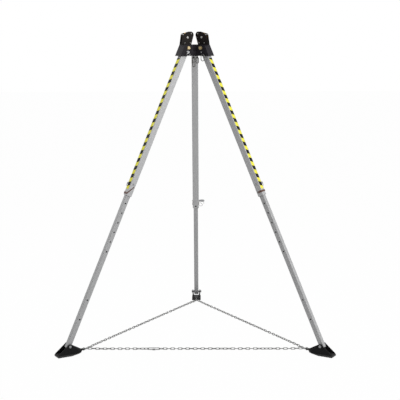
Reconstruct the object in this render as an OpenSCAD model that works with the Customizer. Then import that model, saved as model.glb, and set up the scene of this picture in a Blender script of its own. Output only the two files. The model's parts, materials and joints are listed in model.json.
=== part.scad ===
// Rescue tripod: three telescoping aluminium legs under a folded steel head with two
// rope pulleys, pivoting steel feet with rubber soles, and a spreader chain round the feet.
// Millimetres, +Z up, the floor at Z = 0, the axis of the head on X = Y = 0.

/* [Stance] */
// Radius from the head axis to the foot pivot bolts
foot_radius = 986; // [700:1:1200]
// Radius from the head axis to the leg pivot bolts
pivot_radius = 70; // [66:1:90]
// Lean of each leg from the vertical when open
leg_angle = 24.9; // [18:0.1:30]
// Height of the foot pivot bolts over the floor
foot_pin_z = 68; // [60:1:100]

/* [Upper legs] */
// Width of the upper tube across the leg
upper_w = 46; // [42:0.5:60]
// Depth of the upper tube, inner face to taped face
upper_d = 42; // [41:0.5:60]
// Wall of both tubes
tube_wall = 3; // [2:0.25:3.5]
// Outside corner radius of both tubes
tube_corner = 3.5; // [3.5:0.25:5]
// Foot bolt to the open end of a front upper tube
front_end_s = 1085; // [900:1:1120]
// Foot bolt to the open end of the rear upper tube, which is longer
rear_end_s = 833; // [700:1:860]
// Radius of the rounded top ears
ear_r = 16.5; // [14:0.5:17]

/* [Lower legs] */
// Width of the square lower tube
lower_w = 33; // [30:0.5:34]
// Foot bolt to the first hole of the adjusting row
first_hole_s = 1030; // [900:1:1060]
// Pitch of the adjusting holes
hole_pitch = 70; // [60:1:80]
// Diameter of the adjusting holes
hole_d = 11; // [10.6:0.1:13]
// Foot bolt to the top of the lower tube
lower_top_s = 1280; // [1220:1:1340]
// How far the lower tube runs past the foot bolt
lower_past = 16; // [12:1:24]

/* [Head] */
// Half width of each arm
arm_half = 38; // [36:0.5:46]
// Plate thickness of the head
plate = 4; // [3:0.5:5]
// Height from the leg pivots up to the top of the head
head_rise = 22; // [22:0.5:30]
// Height of the skirt
skirt_h = 76; // [66:1:96]
// Leg axis to the outside of the sloping end panel
panel_offset = 35; // [33:0.5:45]
// Width of the flat strip in each corner between two arms
corner_strip = 17; // [10:1:24]
// Radius of the rope hole in the top
rope_hole_r = 28; // [20:1:30]
// Diameter of the leg pivot bolts
pivot_d = 12; // [10:0.5:14]
// Drop of the leg stop pins below the pivots, along the leg
stop_drop = 29; // [26:0.5:34]
// Offset of the stop pins to the inside of the leg axis
stop_in = 6; // [2:0.5:8]
// Diameter of the stop pins
stop_d = 8; // [6:0.5:9]
// Fold travel of a leg, in degrees
fold_deg = 22; // [10:1:23]

/* [Pulleys] */
// Radius from the head axis to the sheave axle
sheave_at = 64; // [60:1:70]
// Height of the axle over the top of the head
axle_rise = 50; // [46:1:60]
// Outside radius of the sheave
sheave_r = 31; // [26:0.5:36]
// Width of the sheave
sheave_w = 18; // [14:0.5:20]
// Diameter of the sheave axle
axle_d = 10; // [8:0.5:14]
// Rope groove radius
groove_r = 6.5; // [5:0.25:7]
// Gap between sheave and cheek plate
cheek_gap = 1; // [0.5:0.1:2]
// Height of the cheek plates at their inner edge
cheek_h = 89; // [86:1:100]

/* [Lock pins] */
// Diameter of the leg lock pins
lock_d = 10; // [8:0.5:10]
// Diameter of the grip of a leg lock pin
grip_d = 19; // [14:0.5:24]
// Length of the grip
grip_l = 30; // [20:1:36]
// Wire of the pull rings
ring_wire = 2.6; // [2:0.1:3]
// Mean radius of the pull rings
ring_r = 12; // [11:0.5:15]
// Diameter of the lanyard cables
cable_d = 2.4; // [2:0.1:3]

/* [Feet] */
// Outside half width of the foot bracket
foot_half = 31; // [28:0.5:36]
// Plate of the foot bracket
foot_plate = 5; // [4:0.5:6]
// Reach of the foot towards the head axis from its bolt
foot_in = 78; // [60:1:90]
// Reach of the foot away from the head axis
foot_out = 83; // [60:1:95]
// Thickness of the rubber sole
sole_h = 13; // [10:0.5:18]
// How far the sole stands out round the bracket
sole_lip = 4; // [0:0.5:8]
// Diameter of the foot bolts
foot_bolt_d = 10; // [8:0.5:12]
// Radius of the bracket round the foot bolt
foot_apex = 15; // [13:0.5:18]
// Reach of the chain tab towards the head axis from the foot bolt
tab_in = 112; // [104:1:120]
// Half width of the chain tab
tab_half = 14; // [12:0.5:18]
// Height of the underside of the chain tab
tab_z = 24; // [20:0.5:30]

/* [Chain] */
// Wire of the chain links
link_wire = 4.5; // [3:0.25:5]
// Outside width of the links
link_w = 16; // [15:0.5:20]
// Wanted distance from link to link
link_step = 25; // [22:0.5:30]
// Wire of the rings in the chain tabs
tab_ring_wire = 4.5; // [4:0.25:5]
// Mean radius of the rings in the chain tabs
tab_ring_r = 9; // [8.5:0.25:11]

/* [Anchor links] */
// Wire of the anchor links under the head
anchor_wire = 6; // [5:0.25:7]
// Outside width of the anchor links
anchor_w = 22; // [20:0.5:26]
// Outside length of the long quick link
quick_len = 70; // [60:1:90]
// Outside length of the short link and the side ring
short_len = 46; // [40:1:60]

/* [Hidden] */
$fn = 48;
running = 0.3;
bore_gap = 0.05;
// how far pieces of one solid run into each other
bite = 0.5;
leg_az = [210, 330, 90];
// side of each leg that its lock pin goes in from: the near side hides the front grips
pin_side = [-1, 1, -1];
// hole of the row that each lock pin sits in
pin_index = [-2, -2, 2];
leg_len = (foot_radius - pivot_radius) / sin(leg_angle);
pivot_z = foot_pin_z + leg_len * cos(leg_angle);
head_top = pivot_z + head_rise;
head_bottom = head_top - skirt_h;
axle_z = head_top + axle_rise;
end_s = [front_end_s, front_end_s, rear_end_s];
upper_in_w = upper_w - 2 * tube_wall;
upper_in_d = upper_d - 2 * tube_wall;
guide_h = 36;
plug_h = 34;
plug_flange_h = 6;
plug_hole_r = 8;
tape_t = 0.4;
tape_w = 35;
tape_top = 84;
tape_stop = 44;
strap_t = 1.2;
strap_h = 11;
strap_above = 22;
flange_h = 4;
stop_flange_d = 18;
stop_neck_d = 10;
stop_neck_l = 16;
ring_inset = 5;
pin_past = 4;
collar_l = 13;
head_seat = 3;
ring_hole_d = ring_wire + 3;
cheek_t = 4;
cheek_in = 15;
cheek_foot = 34;
cheek_out = 117;
cheek_lean = 7;
cheek_fall = 13;
cheek_round = 22;
cheek_corner = 11;
cheek_end = cheek_out + cheek_lean;
cheek_end_h = cheek_h - cheek_fall;
axle_lip = 4;
screw_d = 6;
screw_head_d = 9;
screw_head_h = 3;
screw_at = 44;
screw_angles = [245, -47, 142, 24];
washer_d = 24;
washer_t = 2;
pivot_hex = 19;
pivot_head_h = 7;
pivot_nut_h = 10;
thread_out = 2;
foot_hex = 17;
foot_head_h = 6.5;
foot_nut_h = 8;
foot_spacer_d = 20;
lug_t = 5;
lug_hole_d = anchor_wire + 2.4;
quick_x = -6;
short_x = quick_x + anchor_w + 2;
lug_y = -30;
lug_drop = 14;
// drop of a hung link's wire below the middle of its lug hole
hang = 0.4;
sleeve_d = 13;
sleeve_l = 20;
side_up = 12;
side_lug_out = 9;
side_lug_r = 7.5;
side_r = 90;
side_wire = 5;
side_w = 30;
groove_w = 6;
groove_deep = 4;
grooves = 6;
tab_t = 5;
tab_hole_d = 9;
tab_hole_in = tab_in - 10;
ring_in = tab_in - 1;
chain_r = foot_radius - ring_in - tab_ring_r;
chain_z = tab_z + tab_t / 2;
run_len = chain_r * sqrt(3);
link_gap = 0.5;
ring_gap = 1;
run_links = 2 * round((run_len / link_step - 1) / 2) + 1;
long_half = (run_links + 1) / 2;
short_half = (run_links - 1) / 2;
link_pitch = (run_len - link_gap + tab_ring_wire + 2 * ring_gap) / run_links;
link_in = link_pitch + link_gap;
first_link = link_in / 2 - tab_ring_wire / 2 - ring_gap;
stack_z = link_wire / 2 + 0.25;
// the two runs of each leg: turn from the foot, and the side of the ring that its first link is on
runs = [[[-30, 1], [30, -1]], [[30, 1], [-30, -1]], [[-30, -1], [30, 1]]];
quick_first = 8;
quick_w = link_w + 4;
quick_wire = link_wire + 1;
quick_sleeve_d = 11;
quick_sleeve_l = 18;
stop_x = -stop_in;
stop_z = -stop_drop;
stop_r = norm([stop_x, stop_z]);
slot_half = (stop_r * fold_deg * PI / 180) / 2 + stop_d / 2 + 0.8;
slot_h = stop_d + 2.2;
swing_x = stop_r * sin(fold_deg) / 2;
cable_sides = 8;
cable_steps = 7;
// lanyard route across and along the leg, from the side face of the upper tube and from the pin
cable_route = [[7, -6.6], [9, -30], [32, -30], [30, -52], [28, -74], [4, -70]];
// where the lanyard ends, from the side face and from the open end of the upper tube
cable_end = [1.8, 12];

// distance from the foot bolt of the hole with index k, and of the lock pin of leg i
function hole_s(k) = first_hole_s - k * hole_pitch;
function pin_s(i) = hole_s(pin_index[i]);
// height in the leg frame of a point s above the foot bolt
function leg_z(s) = s - leg_len;
// radius of the outside of the end panel at height z
function panel_r(z) = pivot_radius + (pivot_z - z) * tan(leg_angle) + panel_offset / cos(leg_angle);

// arm frame: X outwards, Y across the arm, Z up
module arm_frame(i) {
    rotate([0, 0, leg_az[i]])
        children();
}

// leg frame: origin on the pivot bolt, Z up along the leg, X out of the taped face
module leg_frame(i) {
    arm_frame(i)
        translate([pivot_radius, 0, pivot_z])
            rotate([0, -leg_angle, 0])
                children();
}

// foot frame: origin on the floor under the foot bolt
module foot_frame(i) {
    arm_frame(i)
        translate([foot_radius, 0, 0])
            children();
}

// cylinder along Y, centred unless told otherwise
module cross_cyl(d, from, to) {
    translate([0, to, 0])
        rotate([90, 0, 0])
            cylinder(d = d, h = to - from);
}

// hexagon along Y
module cross_hex(flats, from, to) {
    translate([0, to, 0])
        rotate([90, 0, 0])
            cylinder(d = flats / cos(30), h = to - from, $fn = 6);
}

module round_rect(w, h, r) {
    square([w - 2 * r, h], center = true);
    square([w, h - 2 * r], center = true);
    for (sx = [-1, 1], sy = [-1, 1])
        translate([sx * (w / 2 - r), sy * (h / 2 - r)])
            circle(r);
}

// tube profile with depth along X and width along Y
module tube(depth, width, wall, corner, length) {
    linear_extrude(length)
        difference() {
            round_rect(depth, width, corner);
            round_rect(depth - 2 * wall, width - 2 * wall, corner - wall + 0.5);
        }
}

// side view of an arm in X and Z, inset from the outside by the given amount
module arm_side(inset, bottom, top) {
    polygon([[0, bottom], [panel_r(bottom) - inset, bottom],
        [panel_r(top) - inset, top], [0, top]]);
}

module arm_solid(half, inset, bottom, top) {
    translate([0, half, 0])
        rotate([90, 0, 0])
            linear_extrude(2 * half)
                arm_side(inset, bottom, top);
}

module anchor_lug(x) {
    translate([x - lug_t / 2, lug_y, head_bottom + plate])
        rotate([90, 0, 90])
            linear_extrude(lug_t)
                difference() {
                    union() {
                        translate([-lug_t, -lug_drop])
                            square([2 * lug_t, lug_drop + 1]);
                        translate([0, -lug_drop])
                            circle(lug_hole_d / 2 + 4);
                    }
                    translate([0, -lug_drop])
                        circle(lug_hole_d / 2);
                }
}

module side_lug() {
    arm_frame(1)
        translate([side_r - lug_t / 2, -arm_half + 1, head_bottom + side_up])
            rotate([90, 0, 90])
                linear_extrude(lug_t)
                    difference() {
                        union() {
                            translate([-side_lug_out, -side_lug_r + 1.5])
                                square([side_lug_out, 2 * side_lug_r - 3]);
                            translate([-side_lug_out, 0])
                                circle(side_lug_r);
                        }
                        translate([-side_lug_out, 0])
                            circle(side_wire / 2 + 1);
                    }
}

module head_shell() {
    color([0.09, 0.09, 0.1])
        difference() {
            union() {
                difference() {
                    union() {
                        for (i = [0 : 2])
                            arm_frame(i)
                                arm_solid(arm_half, 0, head_bottom, head_top);
                        for (i = [0 : 2])
                            rotate([0, 0, leg_az[i] + 60])
                                translate([arm_half, -corner_strip / 2 - bite, head_bottom])
                                    cube([arm_half / cos(30) + corner_strip / 2 * tan(30) - arm_half,
                                        corner_strip + 2 * bite, skirt_h]);
                    }
                    for (i = [0 : 2])
                        arm_frame(i)
                            arm_solid(arm_half - plate, plate, head_bottom - 1, head_top - plate);
                }
                translate([0, 0, head_bottom])
                    difference() {
                        cylinder(r = arm_half / cos(30) - 1, h = plate + 1);
                        translate([0, 0, -1])
                            cylinder(r = rope_hole_r - 6, h = plate + 3);
                    }
                anchor_lug(quick_x);
                anchor_lug(short_x);
                side_lug();
            }
            translate([0, 0, head_top - plate - 1])
                cylinder(r = rope_hole_r, h = plate + 2);
            for (i = [0 : 2])
                leg_frame(i) {
                    cross_cyl(pivot_d + 2 * bore_gap, -arm_half - 1, arm_half + 1);
                    translate([stop_x, 0, stop_z])
                        cross_cyl(stop_d + 2 * running, -arm_half - 1, arm_half + 1);
                }
        }
}

module pivot_bolts() {
    color([0.78, 0.7, 0.42])
        for (i = [0 : 2])
            leg_frame(i) {
                cross_cyl(pivot_d, -arm_half - washer_t - pivot_nut_h - thread_out, arm_half + bite);
                cross_cyl(washer_d, arm_half, arm_half + washer_t);
                cross_hex(pivot_hex, arm_half + washer_t, arm_half + washer_t + pivot_head_h);
            }
}

module pivot_nuts() {
    color([0.78, 0.7, 0.42])
        for (i = [0 : 2])
            leg_frame(i)
                difference() {
                    union() {
                        cross_cyl(washer_d, -arm_half - washer_t, -arm_half);
                        cross_hex(pivot_hex, -arm_half - washer_t - pivot_nut_h, -arm_half - washer_t);
                    }
                    cross_cyl(pivot_d, -arm_half - 20, -arm_half + 1);
                }
}

module pivot_spacers() {
    color([0.9, 0.9, 0.88])
        for (i = [0 : 2], side = [-1, 1])
            leg_frame(i)
                mirror([0, side < 0 ? 1 : 0, 0])
                    difference() {
                        cross_cyl(washer_d, upper_w / 2 + running, arm_half - plate);
                        cross_cyl(pivot_d, 0, arm_half);
                    }
}

module cheek_outline() {
    difference() {
        union() {
            polygon([[cheek_foot, 0], [cheek_out, 0], [cheek_end, cheek_end_h - cheek_corner],
                [cheek_end - cheek_corner, cheek_end_h], [cheek_in + cheek_round, cheek_h],
                [cheek_in, cheek_h - cheek_round]]);
            translate([cheek_in + cheek_round, cheek_h - cheek_round])
                circle(cheek_round);
            translate([cheek_end - cheek_corner, cheek_end_h - cheek_corner])
                circle(cheek_corner);
        }
        translate([sheave_at, axle_rise])
            circle(axle_d / 2);
        for (p = screw_spots())
            translate(p)
                circle(screw_d / 2);
    }
}

// screws stand round the sheave, clear of its rim
function screw_spots() = [for (a = screw_angles)
    [sheave_at + screw_at * cos(a), axle_rise + screw_at * sin(a)]];

module pulley_cheeks() {
    color([0.16, 0.13, 0.11])
        for (i = [0, 1], side = [0, 1])
            arm_frame(i)
                mirror([0, side, 0])
                    translate([0, sheave_w / 2 + cheek_gap + cheek_t, head_top])
                        rotate([90, 0, 0])
                            linear_extrude(cheek_t)
                                cheek_outline();
}

module pulley_axles() {
    reach = sheave_w / 2 + cheek_gap + cheek_t;
    color([0.75, 0.75, 0.76])
        for (i = [0, 1])
            arm_frame(i)
                translate([sheave_at, 0, axle_z]) {
                    cross_cyl(axle_d, -reach - bite, reach + bite);
                    for (side = [0, 1])
                        mirror([0, side, 0])
                            cross_cyl(axle_d + axle_lip, reach, reach + screw_head_h);
                }
}

module pulley_screws() {
    inside = sheave_w / 2 + cheek_gap;
    reach = inside + cheek_t;
    color([0.72, 0.72, 0.74])
        for (i = [0, 1], p = screw_spots())
            arm_frame(i)
                translate([p[0], 0, head_top + p[1]]) {
                    cross_cyl(screw_head_d, -inside, inside);
                    cross_cyl(screw_d, -reach - bite, reach + bite);
                    cross_cyl(screw_head_d, reach, reach + screw_head_h);
                    cross_cyl(screw_head_d, -reach - screw_head_h, -reach);
                }
}

module sheave(i) {
    color([0.72, 0.56, 0.2])
        arm_frame(i)
            translate([sheave_at, 0, axle_z])
                rotate([90, 0, 0])
                    rotate_extrude($fn = 96)
                        difference() {
                            translate([axle_d / 2 + bore_gap, -sheave_w / 2])
                                square([sheave_r - axle_d / 2 - bore_gap, sheave_w]);
                            translate([sheave_r + 1, 0])
                                circle(groove_r);
                            translate([axle_d / 2 + 5, sheave_w / 2 - 3])
                                square([sheave_r - groove_r - axle_d / 2 - 10, 4]);
                            translate([axle_d / 2 + 5, -sheave_w / 2 - 1])
                                square([sheave_r - groove_r - axle_d / 2 - 10, 4]);
                        }
}

// stadium link standing in the XZ plane, its long side along X
module link(inner, width, wire) {
    r = (width - wire) / 2;
    half = round(100 * ((inner + wire) / 2 - r)) / 100;
    for (side = [0, 1])
        mirror([side, 0, 0])
            translate([half, 0, 0])
                rotate([90, 0, 0])
                    rotate([0, 0, -90])
                        rotate_extrude(angle = 180)
                            translate([r, 0])
                                circle(d = wire);
    for (side = [-1, 1])
        translate([-half, 0, side * r])
            rotate([0, 90, 0])
                cylinder(d = wire, h = 2 * half);
}

module hung_link(len, width, wire, top) {
    translate([0, 0, top - len / 2 + wire / 2])
        rotate([0, 90, 0])
            link(len - 2 * wire, width, wire);
}

module anchor_quick_link() {
    top = head_bottom + plate - lug_drop - hang;
    color([0.8, 0.81, 0.82])
        translate([quick_x, lug_y, 0]) {
            hung_link(quick_len, anchor_w, anchor_wire, top);
            translate([-(anchor_w - anchor_wire) / 2, 0, top - quick_len / 2 - sleeve_l * 0.3])
                cylinder(d = sleeve_d, h = sleeve_l, $fn = 6);
        }
}

module anchor_link() {
    color([0.8, 0.81, 0.82])
        translate([short_x, lug_y, 0])
            hung_link(short_len, anchor_w, anchor_wire, head_bottom + plate - lug_drop - hang);
}

module side_ring() {
    color([0.8, 0.81, 0.82])
        arm_frame(1)
            translate([side_r, -arm_half + 1 - side_lug_out, 0])
                hung_link(short_len + 4, side_w, side_wire, head_bottom + side_up - 0.6);
}

// ring hanging in the XZ plane from a hole at the origin
module pull_ring() {
    translate([0, 0, -ring_r])
        rotate([90, 0, 0])
            rotate_extrude()
                translate([ring_r, 0])
                    circle(d = ring_wire);
}

module stop_pin(i) {
    color([0.8, 0.81, 0.82])
        leg_frame(i)
            translate([stop_x, 0, stop_z])
                rotate([0, leg_angle, 0]) {
                    difference() {
                        union() {
                            cross_cyl(stop_d, -arm_half - pin_past, arm_half + 1);
                            cross_cyl(stop_flange_d, arm_half + running, arm_half + flange_h);
                            cross_cyl(stop_neck_d, arm_half + flange_h - 1, arm_half + stop_neck_l);
                        }
                        translate([-stop_neck_d, arm_half + stop_neck_l - ring_inset, 0])
                            rotate([0, 90, 0])
                                cylinder(d = ring_hole_d, h = 20);
                    }
                    translate([0, arm_half + stop_neck_l - ring_inset, 0])
                        pull_ring();
                }
}

module upper_tube(i) {
    color([0.78, 0.79, 0.8])
        leg_frame(i)
            difference() {
                union() {
                    translate([0, 0, leg_z(end_s[i])])
                        tube(upper_d, upper_w, tube_wall, tube_corner, leg_len - end_s[i]);
                    for (side = [0, 1])
                        mirror([0, side, 0])
                            cross_cyl(2 * ear_r, upper_w / 2 - tube_wall, upper_w / 2);
                }
                cross_cyl(pivot_d + 2 * bore_gap, -upper_w, upper_w);
                translate([0, 0, stop_z]) {
                    translate([-slot_half + slot_h / 2 - stop_in + swing_x, -upper_w, -slot_h / 2])
                        cube([2 * slot_half - slot_h, 2 * upper_w, slot_h]);
                    for (side = [-1, 1])
                        translate([side * (slot_half - slot_h / 2) - stop_in + swing_x, 0, 0])
                            cross_cyl(slot_h, -upper_w, upper_w);
                }
                translate([0, 0, leg_z(pin_s(i))])
                    cross_cyl(lock_d + 2 * running, -upper_w, upper_w);
            }
}

module hazard_tape(i) {
    color([0.94, 0.9, 0.25])
        leg_frame(i)
            translate([upper_d / 2, -tape_w / 2, leg_z(end_s[i]) + tape_stop])
                cube([tape_t, tape_w, leg_len - end_s[i] - tape_stop - tape_top]);
}

module mouth_guide(i) {
    color([0.12, 0.12, 0.12])
        leg_frame(i)
            translate([0, 0, leg_z(end_s[i])])
                linear_extrude(guide_h)
                    difference() {
                        round_rect(upper_in_d, upper_in_w, tube_corner - tube_wall + 0.5);
                        round_rect(lower_w + 2 * running, lower_w + 2 * running, tube_corner);
                    }
}

module pin_strap(i) {
    color([0.3, 0.16, 0.1])
        leg_frame(i)
            translate([0, 0, leg_z(end_s[i]) + strap_above])
                linear_extrude(strap_h)
                    difference() {
                        translate([-upper_d / 4, -upper_w / 2 - strap_t])
                            square([0.75 * upper_d + strap_t, upper_w + 2 * strap_t]);
                        round_rect(upper_d, upper_w, tube_corner);
                    }
}

module lower_tube(i) {
    color([0.74, 0.75, 0.76])
        leg_frame(i)
            difference() {
                translate([0, 0, leg_z(-lower_past)])
                    tube(lower_w, lower_w, tube_wall, tube_corner, lower_top_s + lower_past);
                for (k = [-2, -1, 0, 1, 2, 3, 4, 5, 10, 12])
                    translate([0, 0, leg_z(hole_s(k))])
                        cross_cyl(hole_d, -lower_w, lower_w);
                translate([0, 0, leg_z(0)])
                    cross_cyl(foot_bolt_d + 2 * bore_gap, -lower_w, lower_w);
            }
}

module guide_plug(i) {
    color([0.12, 0.12, 0.12])
        leg_frame(i)
            translate([0, 0, leg_z(lower_top_s)]) {
                linear_extrude(plug_flange_h)
                    difference() {
                        round_rect(upper_in_d - 2 * running, upper_in_w - 2 * running, 1.5);
                        circle(plug_hole_r);
                    }
                translate([0, 0, -plug_h])
                    linear_extrude(plug_h + 1)
                        difference() {
                            round_rect(lower_w - 2 * tube_wall, lower_w - 2 * tube_wall, 1);
                            circle(plug_hole_r);
                        }
            }
}

// leg lock pin along Y, its grip towards +Y
module lock_pin_shape() {
    near = upper_w / 2;
    neck = near + collar_l + grip_l - 6;
    eye = near + collar_l + grip_l - ring_inset + 1;
    difference() {
        union() {
            cross_cyl(lock_d, -near - pin_past, near + 1);
            cross_cyl(lock_d + 3, near + running, near + collar_l);
            cross_cyl(grip_d, near + collar_l, neck);
            cross_cyl(lock_d, neck - 1, near + collar_l + grip_l);
        }
        translate([-lock_d, eye, 0])
            rotate([0, 90, 0])
                cylinder(d = ring_hole_d, h = 2 * lock_d);
    }
    translate([0, eye, 0])
        pull_ring();
}

module lock_pin(i) {
    color([0.7, 0.7, 0.72])
        leg_frame(i)
            translate([0, 0, leg_z(pin_s(i))])
                mirror([0, pin_side[i] < 0 ? 1 : 0, 0])
                    rotate([0, leg_angle, 0])
                        lock_pin_shape();
}

// lanyard route in the Y and Z of the leg, from the pin's grip to the end of the upper tube
function route(i) = concat([for (p = cable_route) [upper_w / 2 + p[0], p[1]]],
    [[upper_w / 2 + cable_end[0], end_s[i] - pin_s(i) + cable_end[1]]]);
function bez(a, b, c, d, u) = a * pow(1 - u, 3) + 3 * b * u * pow(1 - u, 2)
    + 3 * c * u * u * (1 - u) + d * pow(u, 3);
function slope(a, b, c, d, u) = (b - a) * pow(1 - u, 2) + 2 * (c - b) * u * (1 - u)
    + (d - c) * u * u;
function cable_pos(p) = [for (k = [0 : 2 * cable_steps])
    let (n = k < cable_steps ? 0 : 3, u = (k - (n > 0 ? cable_steps : 0)) / cable_steps)
    bez(p[n], p[n + 1], p[n + 2], p[n + 3], u)];
function cable_dir(p) = [for (k = [0 : 2 * cable_steps])
    let (n = k < cable_steps ? 0 : 3, u = (k - (n > 0 ? cable_steps : 0)) / cable_steps)
    slope(p[n], p[n + 1], p[n + 2], p[n + 3], u) / norm(slope(p[n], p[n + 1], p[n + 2], p[n + 3], u))];

module cable(p) {
    pos = cable_pos(p);
    dir = cable_dir(p);
    last = len(pos) - 1;
    m = cable_sides;
    points = [for (k = [0 : last], j = [0 : m - 1])
        let (a = 360 * j / m, r = cable_d / 2)
        [r * cos(a), pos[k][0] - r * sin(a) * dir[k][1], pos[k][1] + r * sin(a) * dir[k][0]]];
    sides = [for (k = [0 : last - 1], j = [0 : m - 1])
        [k * m + j, k * m + (j + 1) % m, (k + 1) * m + (j + 1) % m, (k + 1) * m + j]];
    polyhedron(points, concat(sides, [[for (j = [m - 1 : -1 : 0]) j],
        [for (j = [0 : m - 1]) last * m + j]]), convexity = 6);
}

module lanyard(i) {
    color([0.62, 0.6, 0.56])
        leg_frame(i)
            translate([0, 0, leg_z(pin_s(i))])
                mirror([0, pin_side[i] < 0 ? 1 : 0, 0])
                    cable(route(i));
}

module cheek_shape() {
    difference() {
        union() {
            polygon([[-foot_in, sole_h], [foot_out, sole_h], [foot_out, sole_h + foot_plate],
                [foot_apex * 0.75, foot_pin_z + foot_apex * 0.6],
                [-foot_apex * 0.65, foot_pin_z + foot_apex * 0.7], [-foot_in, sole_h + foot_plate]]);
            translate([0, foot_pin_z])
                circle(foot_apex);
        }
        translate([0, foot_pin_z])
            circle(foot_bolt_d / 2 + bore_gap);
    }
}

module foot(i) {
    color([0.13, 0.13, 0.14])
        foot_frame(i) {
            for (side = [0, 1])
                mirror([0, side, 0])
                    translate([0, foot_half, 0])
                        rotate([90, 0, 0])
                            linear_extrude(foot_plate)
                                cheek_shape();
            translate([-foot_in, -foot_half, sole_h])
                cube([foot_in + foot_out, 2 * foot_half, foot_plate]);
            translate([-foot_in, -tab_half, sole_h])
                cube([foot_plate, 2 * tab_half, tab_z + tab_t - sole_h]);
            difference() {
                translate([-tab_in, -tab_half, tab_z])
                    cube([tab_in - foot_in + foot_plate, 2 * tab_half, tab_t]);
                translate([-tab_hole_in, 0, tab_z - 1])
                    cylinder(d = tab_hole_d, h = tab_t + 2);
            }
        }
}

module sole(i) {
    length = foot_in + foot_out + 2 * sole_lip;
    color([0.05, 0.05, 0.05])
        foot_frame(i)
            difference() {
                translate([-foot_in - sole_lip, -foot_half - sole_lip, 0])
                    cube([length, 2 * (foot_half + sole_lip), sole_h]);
                for (k = [1 : grooves])
                    translate([-foot_in - sole_lip + k * length / (grooves + 1) - groove_w / 2,
                        -foot_half - sole_lip - 1, -1])
                        cube([groove_w, 2 * (foot_half + sole_lip) + 2, groove_deep + 1]);
            }
}

module foot_bolt(i) {
    color([0.76, 0.76, 0.77])
        foot_frame(i)
            translate([0, 0, foot_pin_z]) {
                cross_cyl(foot_bolt_d, -foot_half - foot_nut_h - thread_out, foot_half + bite);
                cross_hex(foot_hex, foot_half + running, foot_half + foot_head_h);
                difference() {
                    union() {
                        cross_hex(foot_hex, -foot_half - foot_nut_h, -foot_half - running);
                        for (side = [0, 1])
                            mirror([0, side, 0])
                                cross_cyl(foot_spacer_d, lower_w / 2, foot_half - foot_plate - running);
                    }
                    cross_cyl(foot_bolt_d + 2 * bore_gap, -foot_half - 20, foot_half + 20);
                }
            }
}

// ring in the chain tab of a foot, with the first link of both runs on it
module tab_ring(i) {
    color([0.82, 0.82, 0.82]) {
        foot_frame(i)
            translate([-ring_in, 0, chain_z])
                rotate([90, 0, 0])
                    rotate_extrude()
                        translate([tab_ring_r, 0])
                            circle(d = tab_ring_wire);
        for (run = [0, 1])
            run_frame(i, runs[i][run][0])
                translate([first_link, 0, runs[i][run][1] * stack_z])
                    rotate([90, 0, 0])
                        link(link_in, link_w, link_wire);
    }
}

// run frame: origin on the wire of the ring of leg i, X along the run that turns by the given angle
module run_frame(i, turn) {
    arm_frame(i)
        translate([chain_r, 0, chain_z])
            rotate([0, 0, 180 + turn])
                children();
}

// links from the second one of a foot to the middle of a side, one flat and one upright in turn
module chain_half(i, run, count, quick) {
    lift = runs[i][run][1] * stack_z;
    color([0.7, 0.7, 0.7])
        run_frame(i, runs[i][run][0])
            for (k = [1 : count - 1])
                if (!quick || k < quick_first || k > quick_first + 2)
                    translate([first_link + k * link_pitch, 0, lift * max(0, 1 - 0.35 * max(0, k - 1))])
                        rotate([k % 2 == 0 ? 90 : 0, 0, 0])
                            link(link_in, link_w, link_wire);
                else if (k == quick_first + 1)
                    translate([first_link + k * link_pitch, 0, 0])
                        rotate([quick_first % 2 == 0 ? 90 : 0, 0, 0]) {
                            link(link_in + 2 * link_pitch, quick_w, quick_wire);
                            translate([-quick_sleeve_l / 2, 0, (quick_w - quick_wire) / 2])
                                rotate([0, 90, 0])
                                    cylinder(d = quick_sleeve_d, h = quick_sleeve_l, $fn = 6);
                        }
}

head_shell();
pivot_bolts();
pivot_nuts();
pivot_spacers();
pulley_cheeks();
pulley_axles();
pulley_screws();
sheave(0);  // sheave_left
sheave(1);  // sheave_right
anchor_quick_link();
anchor_link();
side_ring();
stop_pin(0);  // stop_pin_left
stop_pin(1);  // stop_pin_right
stop_pin(2);  // stop_pin_rear
upper_tube(0);  // upper_tube_left
upper_tube(1);  // upper_tube_right
upper_tube(2);  // upper_tube_rear
hazard_tape(0);  // hazard_tape_left
hazard_tape(1);  // hazard_tape_right
hazard_tape(2);  // hazard_tape_rear
mouth_guide(0);  // mouth_guide_left
mouth_guide(1);  // mouth_guide_right
mouth_guide(2);  // mouth_guide_rear
pin_strap(0);  // pin_strap_left
pin_strap(1);  // pin_strap_right
pin_strap(2);  // pin_strap_rear
lower_tube(0);  // lower_tube_left
lower_tube(1);  // lower_tube_right
lower_tube(2);  // lower_tube_rear
guide_plug(0);  // guide_plug_left
guide_plug(1);  // guide_plug_right
guide_plug(2);  // guide_plug_rear
lock_pin(0);  // lock_pin_left
lock_pin(1);  // lock_pin_right
lock_pin(2);  // lock_pin_rear
lanyard(0);  // lanyard_left
lanyard(1);  // lanyard_right
lanyard(2);  // lanyard_rear
foot(0);  // foot_left
foot(1);  // foot_right
foot(2);  // foot_rear
sole(0);  // sole_left
sole(1);  // sole_right
sole(2);  // sole_rear
foot_bolt(0);  // foot_bolt_left
foot_bolt(1);  // foot_bolt_right
foot_bolt(2);  // foot_bolt_rear
tab_ring(0);  // tab_ring_left
tab_ring(1);  // tab_ring_right
tab_ring(2);  // tab_ring_rear
chain_half(0, 0, long_half, true);  // chain_left_front
chain_half(0, 1, short_half, false);  // chain_left_back
chain_half(1, 0, short_half, false);  // chain_right_front
chain_half(1, 1, long_half, false);  // chain_right_back
chain_half(2, 0, long_half, false);  // chain_rear_left
chain_half(2, 1, short_half, false);  // chain_rear_right
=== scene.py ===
"""Rescue tripod: finishes, small pieces, lanyards, chain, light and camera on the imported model.

Metres, +Z up. The photograph is taken from the -Y side.
"""

import json
import math

import bmesh
import bpy
import numpy as np
from mathutils import Matrix, Vector


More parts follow.
